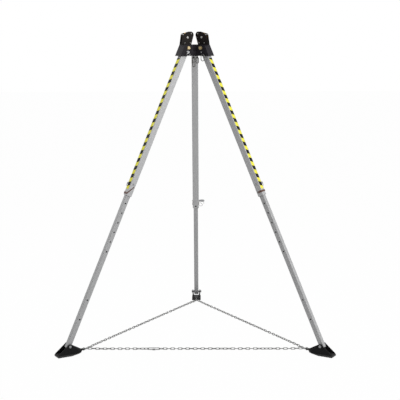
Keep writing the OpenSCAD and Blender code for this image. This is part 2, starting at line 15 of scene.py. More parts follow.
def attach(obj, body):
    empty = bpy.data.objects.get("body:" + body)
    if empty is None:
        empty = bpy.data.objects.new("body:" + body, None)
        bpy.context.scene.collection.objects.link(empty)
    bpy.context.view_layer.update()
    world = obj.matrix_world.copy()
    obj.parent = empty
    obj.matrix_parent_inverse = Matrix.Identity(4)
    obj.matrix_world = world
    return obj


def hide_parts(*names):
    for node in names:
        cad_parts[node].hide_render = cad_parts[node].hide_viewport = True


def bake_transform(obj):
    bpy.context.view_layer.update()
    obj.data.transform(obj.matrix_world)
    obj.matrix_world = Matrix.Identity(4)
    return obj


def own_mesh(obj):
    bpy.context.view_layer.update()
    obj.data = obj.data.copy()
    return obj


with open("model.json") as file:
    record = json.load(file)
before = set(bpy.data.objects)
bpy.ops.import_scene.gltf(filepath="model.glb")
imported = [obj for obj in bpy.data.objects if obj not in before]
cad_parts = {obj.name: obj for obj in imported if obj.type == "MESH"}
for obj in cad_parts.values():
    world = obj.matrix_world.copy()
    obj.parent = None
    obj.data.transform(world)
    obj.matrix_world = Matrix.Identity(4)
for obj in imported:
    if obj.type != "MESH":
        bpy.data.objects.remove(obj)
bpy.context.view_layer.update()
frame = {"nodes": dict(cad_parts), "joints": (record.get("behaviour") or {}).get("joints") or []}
nodes = frame["nodes"]
joints = {joint["name"]: joint for joint in frame["joints"]}

LEGS = ("left", "right", "rear")
PULLEY_LEGS = ("left", "right")
UP = Vector((0, 0, 1))

# Upper tubes: width across the leg, depth, and radius of their corners
UPPER_W = 0.046
UPPER_D = 0.042
UPPER_CORNER = 0.0035
# from the foot bolt to the lock pin, and to the open end of the upper tube
PIN_S = {"left": 1.170, "right": 1.170, "rear": 0.890}
END_S = {"left": 1.085, "right": 1.085, "rear": 0.833}
# side of the leg that each lock pin goes in from, along the leg's fold axis
PIN_SIDE = {"left": -1, "right": 1, "rear": -1}

# Hazard tape: length of a yellow and a black stripe, the yellow share, phase at the leg pivot
STRIPE_PERIOD = 0.058
STRIPE_SHARE = 0.5
STRIPE_START = 0.16
# climb of the stripes across each leg
STRIPE_HAND = {"left": -0.28, "right": 0.28, "rear": -0.28}

# Lanyards: control points across and along the leg, from the upper tube's side face and the pin
CABLE_ROUTE = [
    (0.007, -0.0066), (0.009, -0.030), (0.032, -0.030),
    (0.030, -0.052), (0.028, -0.074), (0.004, -0.070),
]
CABLE_ROUTE_REAR = [
    (0.007, -0.0066), (0.009, -0.028), (0.030, -0.026),
    (0.028, -0.040), (0.026, -0.052), (0.012, -0.053),
]
# where they end, from the side face and from the open end of the upper tube
CABLE_END = (0.0018, 0.012)
CABLE_D = 0.0024
CABLE_STEPS = 14
CABLE_SIDES = 12

# Straps round the open ends: height of the middle above the end, width, thickness, gap to the tube
STRAP_ABOVE = 0.029
STRAP_H = 0.013
STRAP_T = 0.0024
STRAP_GAP = 0.0001
# how much lower each one sits on the outer wall, and its climb towards the inner wall
STRAP_DROP = {"left": 0.012, "right": 0.0, "rear": 0.0}
STRAP_CLIMB = {"left": 1.6, "right": 0.0, "rear": 0.0}
# where a strap ends on the side walls, out from the middle of the tube, and its rivets from there
STRAP_FROM = -UPPER_D / 4
RIVET_IN = 0.006
# powers that square off the section's height and thickness, and its sides
STRAP_ROLL = (0.35, 0.6)
STRAP_SIDES = 16
# steps along a side wall, and angles round a corner of the tube
STRAP_STEPS = 6
STRAP_TURNS = [math.radians(15 * k) for k in range(7)]
# screw of the mouth guide in the inner wall, above the open end of the upper tube
GUIDE_SCREW_UP = 0.017

# Domed heads: radius, height and radius of the recess
RIVET_HEAD = (0.0032, 0.0014, 0.0012)
GUIDE_HEAD = (0.006, 0.0016, 0.003)
CHEEK_SCREW_R = 0.004
CHEEK_HEAD = (CHEEK_SCREW_R, 0.0026, CHEEK_SCREW_R / 2)
# straight rim and recess floor as shares of the height, taper of the recess, angles on the dome
HEAD_RIM = 0.25
RECESS_FLOOR = 0.45
RECESS_TAPER = 0.9
DOME_ANGLES = (0.35, 0.75, 1.1)
ROUND_SIDES = 20

# Pulley cheeks: top of the head above the leg pivots, inner faces from the arm's middle, thickness
HEAD_RISE = 0.022
CHEEK_INSIDE = 0.010
CHEEK_T = 0.004
# outline from the middle of the head outwards and above its top: (out, up, corner radius)
CHEEK_CORNERS = (
    (0.034, 0.0, 0.0), (0.112, 0.0, 0.0),
    (0.090, 0.064, 0.012), (0.037, 0.0669, 0.022),
)
# its screws, measured in the same way, and steps round a corner
CHEEK_SCREWS = ((0.042, 0.011), (0.083, 0.011), (0.033, 0.074), (0.095, 0.068))
CORNER_STEPS = 60

# Feet: half width of the base plate, its reach in and out from the foot bolt, plate thickness
FOOT_HALF = 0.031
FOOT_IN = 0.078
FOOT_OUT = 0.083
FOOT_PLATE = 0.005
# sole: height, lip round the base plate, height and reach of the toe, and where its rise starts
SOLE_H = 0.013
SOLE_LIP = 0.0039
SOLE_TOE_H = 0.002
SOLE_TOE = 0.068
SOLE_RISE_AT = -0.012
# tread grooves: how far out from the foot bolt, width and depth
GROOVES = (0.004, 0.022, 0.040, 0.058)
GROOVE_W = 0.004
GROOVE_DEEP = 0.0025
# chain tab: half width, height of its underside, and where the nose plate meets it
TAB_HALF = 0.014
TAB_Z = 0.024
NOSE_IN = 0.096
# where the nose webs leave the slope of the foot cheeks: inward of the bolt and up
WEB_TOP = (0.0179, 0.0712)

# Roundings: thin plates, and the sole and nose
THIN_BEVEL = 0.0006
FOOT_BEVEL = 0.0008
# turn below which faces are one plane, above which an edge is a rim, or is shaded sharp
FLAT_ANGLE = math.radians(1)
RIM_ANGLE = math.radians(50)
SHARP_ANGLE = math.radians(35)

# Spreader chain: height of the runs
CHAIN_Z = 0.0265
# quick link: its run, its place in the solids in links, and how many links further on it is shown
QUICK_RUN = "left_front"
QUICK_LINK = 8
QUICK_SHIFT = 9
# half widths, in links, that pick out one link or three
ONE_LINK = 0.4
THREE_LINKS = 1.4
# lazy twist about the run: most either way, and links per wave
TWIST = math.radians(30)
TWIST_LINKS = 12
# decimals of a metre to which split points lie at one place
SPOT_DIGITS = 6

# Colours of plastics, tubes, tape, sheaves and cables; coats and platings have theirs where made
NYLON_WHITE = (0.75, 0.75, 0.72)
NYLON_BLACK = (0.016, 0.016, 0.016)
RUBBER_BLACK = (0.012, 0.012, 0.012)
UPPER_GREY = (0.46, 0.462, 0.465)
LOWER_GREY = (0.41, 0.412, 0.415)
TAPE_YELLOW = (0.87, 0.82, 0.075)
TAPE_BLACK = (0.0012, 0.0012, 0.0012)
SHEAVE_BRASS = (0.56, 0.36, 0.1)
CABLE_GREY = (0.11, 0.105, 0.095)
# where the darker and the lighter tone of a finish start on its noise
TONE_STOPS = (0.3, 0.7)

# Photograph: size in pixels, focal length and centre in pixels, and the camera fitted to it
IMAGE = 400
FOCAL_PX = 1048.18
CENTRE_X_PX = 195.15
SENSOR_MM = 36
CAMERA_BACK = 7.2977
CAMERA_UP = 2.1653
CAMERA_PITCH = math.radians(9.235)
CAMERA_YAW = 0.0076
CAMERA_ROLL = -0.0034

# Light: world strength on the object, and place, size and watts of each lamp, aimed at one point
AMBIENT = 0.25
LAMP_AIM = (0, 0.2, 1.0)
LAMPS = {
    "key": ((4.6, -3.9, 3.4), 2.4, 255),
    "rim": ((-4.4, 0.8, 4.2), 2.4, 110),
    "top": ((0.3, 0.6, 5.2), 3.5, 70),
}
# floor: size, grey, roughness, and the share of its own white where it is seen
FLOOR_SIZE = 30
FLOOR_GREY = 0.62
FLOOR_ROUGH = 0.9
FLOOR_GLOW = 0.985


class Leg:
    """Directions and places of one leg, read from its joints."""

    def __init__(self, name):
        self.name = name
        self.pivot = Vector(joints[f"leg_fold_{name}"]["pos_m"])
        self.across = Vector(joints[f"leg_fold_{name}"]["axis"])
        self.along = Vector(joints[f"leg_slide_{name}"]["axis"])
        self.out = self.across.cross(self.along)
        self.level_out = Vector((self.out.x, self.out.y, 0)).normalized()
        self.length = (Vector(joints[f"foot_tilt_{name}"]["pos_m"]) - self.pivot).length

    def point(self, across, s, out=0.0):
        """A point s above the foot bolt, so far across the leg and out from its middle."""
        return self.pivot + self.along * (s - self.length) + self.across * across + self.out * out

    def foot_point(self, inward, across, z):
        """A point so far inward of the foot bolt and across the leg, z above the floor."""
        foot = self.point(0, 0)
        return Vector((foot.x, foot.y, z)) - self.level_out * inward + self.across * across


legs = {name: Leg(name) for name in LEGS}


# Materials


class Finish:
    """A principled material with helpers that add nodes."""

    def __init__(self, name, metallic, roughness, specular=0.5):
        self.material = bpy.data.materials.new(name)
        self.material.use_nodes = True
        self.tree = self.material.node_tree
        self.shader = self.tree.nodes["Principled BSDF"]
        self.shader.inputs["Metallic"].default_value = metallic
        self.shader.inputs["Roughness"].default_value = roughness
        self.shader.inputs["Specular IOR Level"].default_value = specular
        self.coords = self.tree.nodes.new("ShaderNodeTexCoord").outputs["Object"]

    def node(self, kind, **values):
        made = self.tree.nodes.new(kind)
        for key, value in values.items():
            setattr(made, key, value)
        return made

    def link(self, a, b):
        self.tree.links.new(a, b)

    def calc(self, operation, value, other=None):
        """A math node on an output, with a fixed second number if one is given."""
        made = self.node("ShaderNodeMath", operation=operation)
        self.link(value, made.inputs[0])
        if other is not None:
            made.inputs[1].default_value = other
        return made.outputs[0]

    def measure(self, operation, vector):
        """One number from the coordinates and a fixed vector."""
        made = self.node("ShaderNodeVectorMath", operation=operation)
        made.inputs[1].default_value = vector
        self.link(self.coords, made.inputs[0])
        return made.outputs["Value"]

    def leg_coords(self, leg, stretch):
        """Coordinates along, across and out of a leg, the first one stretched for a drawn grain."""
        joined = self.node("ShaderNodeCombineXYZ")
        for k, direction in enumerate((leg.along * stretch, leg.across, leg.out)):
            self.link(self.measure("DOT_PRODUCT", direction), joined.inputs[k])
        return joined.outputs[0]

    def noise(self, scale, detail=4.0, coords=None):
        made = self.node("ShaderNodeTexNoise")
        made.inputs["Scale"].default_value = scale
        made.inputs["Detail"].default_value = detail
        self.link(coords or self.coords, made.inputs["Vector"])
        return made.outputs["Fac"]

    def ramp(self, factor, stops):
        made = self.node("ShaderNodeValToRGB")
        ramp = made.color_ramp
        while len(ramp.elements) < len(stops):
            ramp.elements.new(0.5)
        for element, (place, color) in zip(ramp.elements, stops):
            element.position = place
            element.color = (*color, 1)
        self.link(factor, made.inputs["Fac"])
        return made.outputs["Color"]

    def two_tone(self, factor, color, spread):
        """A colour that goes darker and lighter by a share."""
        low = tuple(c * (1 - spread) for c in color)
        high = tuple(min(1, c * (1 + spread)) for c in color)
        return self.ramp(factor, list(zip(TONE_STOPS, (low, high))))

    def rough(self, factor, low, high):
        made = self.node("ShaderNodeMapRange")
        made.inputs["To Min"].default_value = low
        made.inputs["To Max"].default_value = high
        self.link(factor, made.inputs["Value"])
        self.link(made.outputs["Result"], self.shader.inputs["Roughness"])

    def bump(self, factor, strength, height):
        made = self.node("ShaderNodeBump")
        made.inputs["Strength"].default_value = strength
        made.inputs["Distance"].default_value = height
        self.link(factor, made.inputs["Height"])
        self.link(made.outputs["Normal"], self.shader.inputs["Normal"])

    def color(self, output):
        self.link(output, self.shader.inputs["Base Color"])


def powder_coat(name, color, scuff):
    """Satin powder coat: orange-peel bump, cloudy gloss and a few pale scuffs."""
    f = Finish(name, metallic=0.0, roughness=0.42, specular=0.06)
    lighter = tuple(c * 1.35 for c in color)
    f.color(f.ramp(f.noise(scale=70, detail=9), [(0.0, color), (0.64, lighter), (0.72, scuff)]))
    f.rough(f.noise(scale=22, detail=5), low=0.34, high=0.52)
    f.bump(f.noise(scale=900, detail=2), strength=0.25, height=0.0004)
    return f.material


def drawn_aluminium(name, color, leg):
    """Satin extruded aluminium, its die lines along the leg."""
    f = Finish(name, metallic=0.12, roughness=0.5, specular=0.25)
    grain = f.noise(scale=420, detail=3, coords=f.leg_coords(leg, stretch=0.012))
    f.color(f.two_tone(grain, color, spread=0.035))
    f.rough(f.noise(scale=30), low=0.44, high=0.56)
    f.bump(grain, strength=0.06, height=0.0001)
    return f.material


def plated_steel(name, color, gloss, spread=0.12):
    """Zinc or passivated plating: faint spangle and cloudy gloss between two roughnesses."""
    low, high = gloss
    f = Finish(name, metallic=0.75, roughness=low)
    f.color(f.two_tone(f.noise(scale=260, detail=5), color, spread))
    f.rough(f.noise(scale=120), low, high)
    f.bump(f.noise(scale=1400, detail=2), strength=0.08, height=0.0001)
    return f.material


def turned_brass(name, color, centre):
    """Machined brass: tool rings about the axle."""
    ring_spacing = 0.0009
    f = Finish(name, metallic=0.95, roughness=0.3)
    turns = f.calc("MULTIPLY", f.measure("DISTANCE", centre), 2 * math.pi / ring_spacing)
    f.color(f.two_tone(f.noise(scale=90), color, spread=0.14))
    f.rough(f.noise(scale=60), low=0.24, high=0.4)
    f.bump(f.calc("SINE", turns), strength=0.06, height=0.0001)
    return f.material


def hazard_vinyl(name, yellow, black, leg):
    """Yellow and black stripes along the leg that climb a little across it."""
    f = Finish(name, metallic=0.0, roughness=0.3, specular=0.05)
    climb = leg.across * STRIPE_HAND[leg.name]
    phase = f.measure("DOT_PRODUCT", (leg.along + climb) / STRIPE_PERIOD)
    start = STRIPE_START - leg.pivot.dot(leg.along) / STRIPE_PERIOD
    wrapped = f.calc("FRACT", f.calc("ADD", phase, start))
    mixed = f.node("ShaderNodeMix", data_type="RGBA")
    f.link(f.calc("GREATER_THAN", wrapped, STRIPE_SHARE), mixed.inputs["Factor"])
    f.link(f.two_tone(f.noise(scale=140, detail=3), yellow, spread=0.05), mixed.inputs["A"])
    f.link(f.two_tone(f.noise(scale=160, detail=3), black, spread=0.4), mixed.inputs["B"])
    f.color(mixed.outputs["Result"])
    f.rough(f.noise(scale=40), low=0.24, high=0.38)
    f.bump(f.noise(scale=1600, detail=2), strength=0.1, height=0.0001)
    return f.material


def moulded(name, color, roughness, grain, strength):
    """Moulded plastic or rubber with a fine texture."""
    coarser, sway = 6, 0.08
    f = Finish(name, metallic=0.0, roughness=roughness)
    f.color(f.two_tone(f.noise(scale=grain / coarser, detail=5), color, spread=0.18))
    f.rough(f.noise(scale=60), low=roughness - sway, high=roughness + sway)
    f.bump(f.noise(scale=grain, detail=3), strength, height=0.0004)
    return f.material


def leather(name, color):
    """Brown strap with a cell grain."""
    f = Finish(name, metallic=0.0, roughness=0.6)
    cells = f.node("ShaderNodeTexVoronoi")
    cells.inputs["Scale"].default_value = 900
    f.link(f.coords, cells.inputs["Vector"])
    f.color(f.two_tone(f.noise(scale=220, detail=5), color, spread=0.3))
    f.rough(f.noise(scale=90, detail=3), low=0.5, high=0.7)
    f.bump(cells.outputs["Distance"], strength=0.3, height=0.0003)
    return f.material


def wire_rope(name, color, leg):
    """Coated wire rope: the lay of the strands shows as slanting ridges."""
    f = Finish(name, metallic=0.6, roughness=0.4)
    wave = f.node("ShaderNodeTexWave", bands_direction="DIAGONAL")
    wave.inputs["Scale"].default_value = 330
    f.link(f.leg_coords(leg, stretch=1.0), wave.inputs["Vector"])
    f.color(f.two_tone(wave.outputs["Fac"], color, spread=0.25))
    f.bump(wave.outputs["Fac"], strength=0.4, height=0.0003)
    return f.material


def dress(material, *names):
    """Gives nodes of the part a material."""
    for name in names:
        data = nodes[name].data
        data.materials.clear()
        data.materials.append(material)


black_coat = powder_coat("black_coat", color=(0.013, 0.0115, 0.0145), scuff=(0.026, 0.024, 0.03))
foot_coat = powder_coat("foot_coat", color=(0.009, 0.009, 0.0095), scuff=(0.022, 0.022, 0.023))
cheek_coat = powder_coat("cheek_coat", color=(0.0085, 0.0065, 0.006), scuff=(0.03, 0.024, 0.019))
yellow_zinc = plated_steel("yellow_zinc", color=(0.36, 0.29, 0.16), gloss=(0.42, 0.58))
bright_steel = plated_steel("bright_steel", color=(0.27, 0.273, 0.278), gloss=(0.22, 0.38))
worn_steel = plated_steel("worn_steel", color=(0.11, 0.108, 0.102), gloss=(0.2, 0.36), spread=0.2)
axle_steel = plated_steel("axle_steel", color=(0.3, 0.295, 0.28), gloss=(0.42, 0.6))
chain_zinc = plated_steel("chain_zinc", color=(0.2, 0.2, 0.197), gloss=(0.28, 0.46), spread=0.2)
nylon_white = moulded("nylon_white", NYLON_WHITE, roughness=0.55, grain=800, strength=0.1)
nylon_black = moulded("nylon_black", NYLON_BLACK, roughness=0.55, grain=900, strength=0.2)
sole_rubber = moulded("sole_rubber", RUBBER_BLACK, roughness=0.75, grain=700, strength=0.4)
strap_brown = leather("strap_brown", color=(0.085, 0.033, 0.02))

dress(black_coat, "head_shell")
dress(nylon_white, "pivot_spacers")
dress(yellow_zinc, "pivot_bolts", "pivot_nuts")
dress(axle_steel, "pulley_axles")
dress(worn_steel, "anchor_quick_link", "anchor_link", "side_ring")
for name, leg in legs.items():
    dress(drawn_aluminium(f"upper_aluminium_{name}", UPPER_GREY, leg), f"upper_tube_{name}")
    dress(drawn_aluminium(f"lower_aluminium_{name}", LOWER_GREY, leg), f"lower_tube_{name}")
    dress(hazard_vinyl(f"hazard_vinyl_{name}", TAPE_YELLOW, TAPE_BLACK, leg), f"hazard_tape_{name}")
    dress(foot_coat, f"foot_{name}")
    dress(nylon_black, f"mouth_guide_{name}", f"guide_plug_{name}")
    dress(chain_zinc, f"tab_ring_{name}")
    dress(bright_steel, f"stop_pin_{name}", f"lock_pin_{name}", f"foot_bolt_{name}")
for name in PULLEY_LEGS:
    axle = joints[f"sheave_spin_{name}"]["pos_m"]
    dress(turned_brass(f"sheave_brass_{name}", SHEAVE_BRASS, axle), f"sheave_{name}")


# Meshes and pieces


def add(made):
    """Puts an object into the scene."""
    bpy.context.scene.collection.objects.link(made)
    return made


def mesh_object(name, bm, material):
    """An object from a bmesh, which is freed."""
    bmesh.ops.recalc_face_normals(bm, faces=bm.faces)
    mesh = bpy.data.meshes.new(name)
    bm.to_mesh(mesh)
    bm.free()
    mesh.materials.append(material)
    return add(bpy.data.objects.new(name, mesh))


def new_piece(name, bm, body, material, smooth=True):
    """An object from a bmesh that rides on a body."""
    piece = mesh_object(name, bm, material)
    if smooth:
        for face in piece.data.polygons:
            face.use_smooth = True
        piece.data.set_sharp_from_angle(angle=SHARP_ANGLE)
    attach(piece, body)
    return piece


def join_into(target, bm):
    """Adds one bmesh to another and frees it."""
    scratch = bpy.data.meshes.new("scratch")
    bm.to_mesh(scratch)
    bm.free()
    target.from_mesh(scratch)
    bpy.data.meshes.remove(scratch)


def circle(u, v, radius, sides):
    """Offsets of the points of a circle in the plane of two directions."""
    turns = [2 * math.pi * k / sides for k in range(sides)]
    return [(u * math.cos(a) + v * math.sin(a)) * radius for a in turns]


def skin(bm, rings):
    """Closes a row of rings of points into a body with flat ends."""
    rings = [[bm.verts.new(p) for p in ring] for ring in rings]
    for low, high in zip(rings, rings[1:]):
        for j in range(len(low)):
            k = (j + 1) % len(low)
            bm.faces.new((low[j], low[k], high[k], high[j]))
    bm.faces.new(rings[0][::-1])
    bm.faces.new(rings[-1])


def hull_plate(points, bevel):
    """A bmesh of a convex plate round the points, its rims a little rounded."""
    bm = bmesh.new()
    bmesh.ops.convex_hull(bm, input=[bm.verts.new(p) for p in points])
    bmesh.ops.delete(bm, geom=[v for v in bm.verts if not v.link_faces], context="VERTS")
    bmesh.ops.dissolve_limit(bm, angle_limit=FLAT_ANGLE, verts=bm.verts[:], edges=bm.edges[:])
    rims = [e for e in bm.edges if e.calc_face_angle(0) > RIM_ANGLE]
    bmesh.ops.bevel(bm, geom=rims, offset=bevel, segments=2, affect="EDGES", clamp_overlap=True)
    return bm


def button_head(bm, centre, axis, radius, height, recess):
    """A domed screw or rivet head with a round recess."""
    axis = axis.normalized()
    u = axis.orthogonal().normalized()
    v = axis.cross(u)
    dome = [(radius, 0.0), (radius, height * HEAD_RIM)]
    for a in DOME_ANGLES:
        dome.append((radius * math.cos(a), height * (HEAD_RIM + (1 - HEAD_RIM) * math.sin(a))))
    dome += [(recess, height), (recess * RECESS_TAPER, height * RECESS_FLOOR)]
    skin(bm, [[centre + axis * z + p for p in circle(u, v, r, ROUND_SIDES)] for r, z in dome])


def spacer(bm, middle, axis, radius, length):
    """A plain round post, centred on a point."""
    place = Matrix.Translation(middle) @ axis.to_track_quat("Z", "Y").to_matrix().to_4x4()
    bmesh.ops.create_cone(
        bm, cap_ends=True, segments=ROUND_SIDES,
        radius1=radius, radius2=radius, depth=length, matrix=place,
    )


# Lanyards


def bezier(a, b, c, d, u):
    v = 1 - u
    return a * v**3 + b * (3 * u * v * v) + c * (3 * u * u * v) + d * u**3


def lanyard_path(leg):
    """Two cubic curves from the pin's grip to the end of the upper tube."""
    pin, side = PIN_S[leg.name], PIN_SIDE[leg.name]
    route = CABLE_ROUTE_REAR if leg.name == "rear" else CABLE_ROUTE
    flat = [(UPPER_W / 2 + y, pin + z) for y, z in route]
    flat.append((UPPER_W / 2 + CABLE_END[0], END_S[leg.name] + CABLE_END[1]))
    points = [leg.point(side * y, s) for y, s in flat]
    first = [bezier(*points[0:4], k / CABLE_STEPS) for k in range(CABLE_STEPS)]
    return first + [bezier(*points[3:7], k / CABLE_STEPS) for k in range(CABLE_STEPS + 1)]


def tube_mesh(path, radius, normal):
    """A closed tube along a flat path whose plane has the given normal."""
    rings = []
    for k, p in enumerate(path):
        tangent = (path[min(k + 1, len(path) - 1)] - path[max(k - 1, 0)]).normalized()
        side = tangent.cross(normal).normalized()
        rings.append([p + offset for offset in circle(normal, side, radius, CABLE_SIDES)])
    bm = bmesh.new()
    skin(bm, rings)
    return bm


for name, leg in legs.items():
    path = lanyard_path(leg)
    steel = wire_rope(f"cable_steel_{name}", CABLE_GREY, leg)
    cable = mesh_object(f"wire_lanyard_{name}", tube_mesh(path, CABLE_D / 2, leg.out), steel)
    for face in cable.data.polygons:
        face.use_smooth = len(face.vertices) == 4
    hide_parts(f"lanyard_{name}")
    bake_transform(cable)


# Pulley cheeks and their screws


def cheek_points(leg, side, top):
    """Both faces of one cheek plate, its corners rounded."""
    points = []
    for out, up, radius in CHEEK_CORNERS:
        steps = CORNER_STEPS if radius else 1
        for k in range(steps):
            a = 2 * math.pi * k / steps
            flat = leg.level_out * (out + radius * math.cos(a))
            flat += UP * (top + up + radius * math.sin(a))
            points += [flat + leg.across * (side * (CHEEK_INSIDE + t)) for t in (0.0, CHEEK_T)]
    return points


cheeks, screws = bmesh.new(), bmesh.new()
for name in PULLEY_LEGS:
    leg = legs[name]
    top = leg.pivot.z + HEAD_RISE
    screw_places = [leg.level_out * out + UP * (top + up) for out, up in CHEEK_SCREWS]
    for side in (-1, 1):
        join_into(cheeks, hull_plate(cheek_points(leg, side, top), THIN_BEVEL))
        for place in screw_places:
            outer = place + leg.across * (side * (CHEEK_INSIDE + CHEEK_T))
            button_head(screws, outer, leg.across * side, *CHEEK_HEAD)
    for place in screw_places:
        spacer(screws, place, leg.across, CHEEK_SCREW_R, 2 * CHEEK_INSIDE)
cheek_piece = new_piece("cheek_plates", cheeks, "head", cheek_coat, smooth=False)
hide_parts("pulley_cheeks")
screw_piece = new_piece("cheek_screws", screws, "head", axle_steel)
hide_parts("pulley_screws")


# Straps, guide screws, soles and noses


def strap_route(gap):
    """Points round three sides of the upper tube: out, across, and the wall's direction in both."""
    corner_out, corner_across = UPPER_D / 2 - UPPER_CORNER, UPPER_W / 2 - UPPER_CORNER
    wall = corner_out - STRAP_FROM
    steps = range(STRAP_STEPS)
    route = [(STRAP_FROM + k * wall / STRAP_STEPS, -UPPER_W / 2, 0.0, -1.0) for k in steps]
    for sign, turns in ((-1, STRAP_TURNS), (1, STRAP_TURNS[::-1])):
        for a in turns:
            x = corner_out + UPPER_CORNER * math.sin(a)
            y = sign * (corner_across + UPPER_CORNER * math.cos(a))
            route.append((x, y, math.sin(a), sign * math.cos(a)))
    route += [(corner_out - (k + 1) * wall / STRAP_STEPS, UPPER_W / 2, 0.0, 1.0) for k in steps]
    return [(x + nx * gap, y + ny * gap, nx, ny) for x, y, nx, ny in route]


def strap_height(leg, out):
    """Height of the strap's middle above the foot bolt, so far out from the middle of the tube."""
    climb = STRAP_CLIMB[leg.name] * (UPPER_D / 2 - out)
    return END_S[leg.name] + STRAP_ABOVE - STRAP_DROP[leg.name] + climb


def squared(value, power):
    """A sine or cosine pushed towards its ends, which squares off an oval."""
    return math.copysign(abs(value) ** power, value)


def strap_mesh(leg):
    """A flat strap with rolled edges, swept round the tube and climbing towards the inner wall."""
    profile = []
    for k in range(STRAP_SIDES):
        a = 2 * math.pi * k / STRAP_SIDES
        high = squared(math.cos(a), STRAP_ROLL[0]) * STRAP_H / 2
        thick = squared(math.sin(a), STRAP_ROLL[1]) * STRAP_T / 2
        profile.append((high, thick))
    rings = []
    for x, y, nx, ny in strap_route(STRAP_T / 2 + STRAP_GAP):
        s = strap_height(leg, x)
        rings.append([leg.point(y + ny * t, s + h, x + nx * t) for h, t in profile])
    bm = bmesh.new()
    skin(bm, rings)
    return bm


def rivet_mesh(leg):
    """A rivet at each end of the strap."""
    out = STRAP_FROM + RIVET_IN
    bm = bmesh.new()
    for sign in (-1, 1):
        seat = leg.point(sign * (UPPER_W / 2 + STRAP_T), strap_height(leg, out), out)
        button_head(bm, seat, leg.across * sign, *RIVET_HEAD)
    return bm


def guide_screw_mesh(leg):
    bm = bmesh.new()
    seat = leg.point(0, END_S[leg.name] + GUIDE_SCREW_UP, -UPPER_D / 2)
    button_head(bm, seat, -leg.out, *GUIDE_HEAD)
    return bm


def sole_mesh(leg):
    """Rubber sole with tread grooves across it, its toe rising to the edge of the base plate."""
    heel, toe = FOOT_OUT + SOLE_LIP, -SOLE_TOE
    outline = [(heel, SOLE_H), (toe, SOLE_H), (toe, SOLE_H - SOLE_TOE_H), (SOLE_RISE_AT, 0.0)]
    for groove in GROOVES:
        low, high = groove - GROOVE_W / 2, groove + GROOVE_W / 2
        outline += [(low, 0.0), (low, GROOVE_DEEP), (high, GROOVE_DEEP), (high, 0.0)]
    outline.append((heel, 0.0))
    half = FOOT_HALF + SOLE_LIP
    bm = bmesh.new()
    skin(bm, [[leg.foot_point(-out, side * half, z) for out, z in outline] for side in (-1, 1)])
    bmesh.ops.bevel(
        bm, geom=bm.edges[:], offset=FOOT_BEVEL, segments=2, affect="EDGES", clamp_overlap=False
    )
    return bm


def nose_mesh(leg):
    """Plate from the base plate up to the chain tab, and a web on either side of it."""
    stations = (
        (FOOT_IN - FOOT_PLATE, FOOT_HALF, SOLE_H),
        (FOOT_IN, FOOT_HALF, SOLE_H),
        (NOSE_IN - FOOT_PLATE, TAB_HALF, TAB_Z),
        (NOSE_IN, TAB_HALF, TAB_Z),
    )
    plate_points = [
        leg.foot_point(reach, side * half, z)
        for reach, half, low in stations
        for side in (-1, 1)
        for z in (low, low + FOOT_PLATE)
    ]
    nose = hull_plate(plate_points, FOOT_BEVEL)
    web_corners = (
        (*WEB_TOP, FOOT_HALF),
        (FOOT_IN - FOOT_PLATE, SOLE_H + FOOT_PLATE / 2, FOOT_HALF),
        (NOSE_IN, TAB_Z, TAB_HALF),
        (NOSE_IN, TAB_Z + FOOT_PLATE, TAB_HALF),
    )
    for side in (-1, 1):
        web_points = [
            leg.foot_point(reach, side * edge, z)
            for reach, z, half in web_corners
            for edge in (half, half - FOOT_PLATE)
        ]
        join_into(nose, hull_plate(web_points, THIN_BEVEL))
    return nose


for name, leg in legs.items():
    tube, foot = f"leg_{name}", f"foot_body_{name}"
    strap = new_piece(f"end_strap_{name}", strap_mesh(leg), tube, strap_brown)
    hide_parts(f"pin_strap_{name}")
    new_piece(f"strap_rivets_{name}", rivet_mesh(leg), tube, axle_steel)
    new_piece(f"guide_screw_{name}", guide_screw_mesh(leg), tube, sole_rubber)
    sole = new_piece(
        f"tread_sole_{name}", sole_mesh(leg), foot, sole_rubber, smooth=False
    )
    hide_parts(f"sole_{name}")
    new_piece(f"nose_plate_{name}", nose_mesh(leg), foot, foot_coat, smooth=False)


# Spreader chain, each run riding on a body of its own


def read_points(mesh):
    """The mesh's points as rows of an array."""
    flat = np.empty(3 * len(mesh.vertices))
    mesh.vertices.foreach_get("co", flat)
    return flat.reshape(-1, 3)


def link_groups(mesh, points, along):
    """The links of a chain mesh in order along the run: (middle along the run, rows of its points).

    Split points at one place count as one, and the points of a link all take its lowest label.
    """
    spots = np.unique(np.round(points, SPOT_DIGITS), axis=0, return_inverse=True)[1].ravel()
    ends = np.empty(2 * len(mesh.edges), dtype=int)
    mesh.edges.foreach_get("vertices", ends)
    one, other = spots[ends[0::2]], spots[ends[1::2]]
    label = np.arange(spots.max() + 1)
    while True:
        low = label.copy()
        np.minimum.at(low, one, label[other])
        np.minimum.at(low, other, label[one])
        low = low[low]
        if (low == label).all():
            break
        label = low
    place = points @ np.array(along)
    groups = []
    for link in np.unique(label):
        rows = np.nonzero(label[spots] == link)[0]
        groups.append(((place[rows].min() + place[rows].max()) / 2, rows))
    return sorted(groups, key=lambda g: g[0])


def turn_rows(points, rows, centre, turn, move=0.0):
    """Turns some points about a centre and moves them."""
    middle = np.array(centre)
    points[rows] = (points[rows] - middle) @ np.array(turn).T + middle + np.array(move)


def shift_quick_link(points, groups, axis_point, along):
    """Trades the quick link for three links further on, each turned a quarter about the run."""
    first, pitch = groups[0][0], groups[1][0] - groups[0][0]
    quarter = Matrix.Rotation(math.pi / 2, 3, along)
    for place, rows in groups:
        link = (place - first) / pitch
        if abs(link - QUICK_LINK) < ONE_LINK:
            step = QUICK_SHIFT * pitch
        elif abs(link - QUICK_LINK - QUICK_SHIFT) < THREE_LINKS:
            step = -QUICK_SHIFT * pitch
        else:
            continue
        turn_rows(points, rows, axis_point, quarter, along * step)


